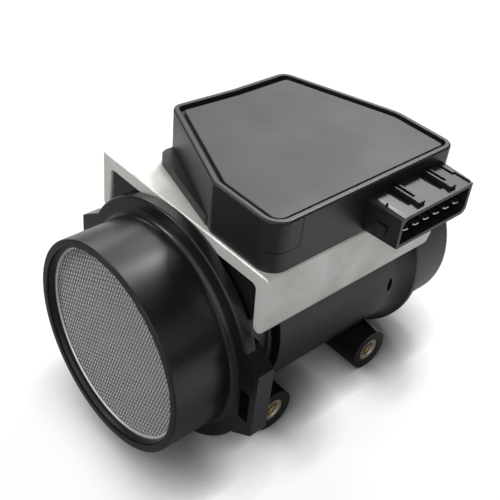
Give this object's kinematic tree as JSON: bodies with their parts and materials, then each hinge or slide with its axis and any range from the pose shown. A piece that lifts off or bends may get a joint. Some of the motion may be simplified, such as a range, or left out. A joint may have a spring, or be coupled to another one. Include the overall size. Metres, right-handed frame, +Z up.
{
  "type": "mass airflow sensor",
  "caption": "Engine intake air duct with a woven inlet screen, a flanged neck, a metal saddle and an electronics module with a plug socket on top.",
  "frame": {"origin": "centre of the inlet mouth's front face, on the duct axis", "axes": "+X along the duct in the direction of the air flow, +Z up towards the electronics module, -Y the side of the plug socket"},
  "size_m": [0.1352, 0.1025, 0.107],
  "materials": {
    "duct_plastic": "satin",
    "screen_wire": "bright",
    "ring_steel": "bright",
    "retainer_plastic": "matte",
    "saddle_aluminium": "worn satin",
    "case_plastic": "satin",
    "lid_plastic": "satin",
    "terminal_tin": "bright",
    "insert_brass": "satin",
    "carrier_plastic": "matte",
    "post_steel": "satin",
    "element_platinum": "bright",
    "board": "satin",
    "device_plastic": "matte",
    "seal_rubber": "matte",
    "screw_steel": "satin"
  },
  "bodies": {
    "root": {"duct_body": "duct_plastic", "inlet_screen": "screen_wire", "screen_ring": "ring_steel", "screen_retainer": "retainer_plastic", "heat_sink_saddle": "saddle_aluminium", "module_case": "case_plastic", "module_lid": "lid_plastic", "element_carrier": "carrier_plastic", "element_posts": "post_steel", "hot_wire_element": "element_platinum", "cold_wire_element": "element_platinum", "circuit_board": "board", "power_transistor": "device_plastic", "duct_seal": "seal_rubber", "housing_screws": "screw_steel", "terminal_1": "terminal_tin", "terminal_2": "terminal_tin", "terminal_3": "terminal_tin", "terminal_4": "terminal_tin", "terminal_5": "terminal_tin", "terminal_6": "terminal_tin", "insert_front_left": "insert_brass", "insert_front_right": "insert_brass", "insert_rear_left": "insert_brass", "insert_rear_right": "insert_brass"}
  },
  "joints": []
}
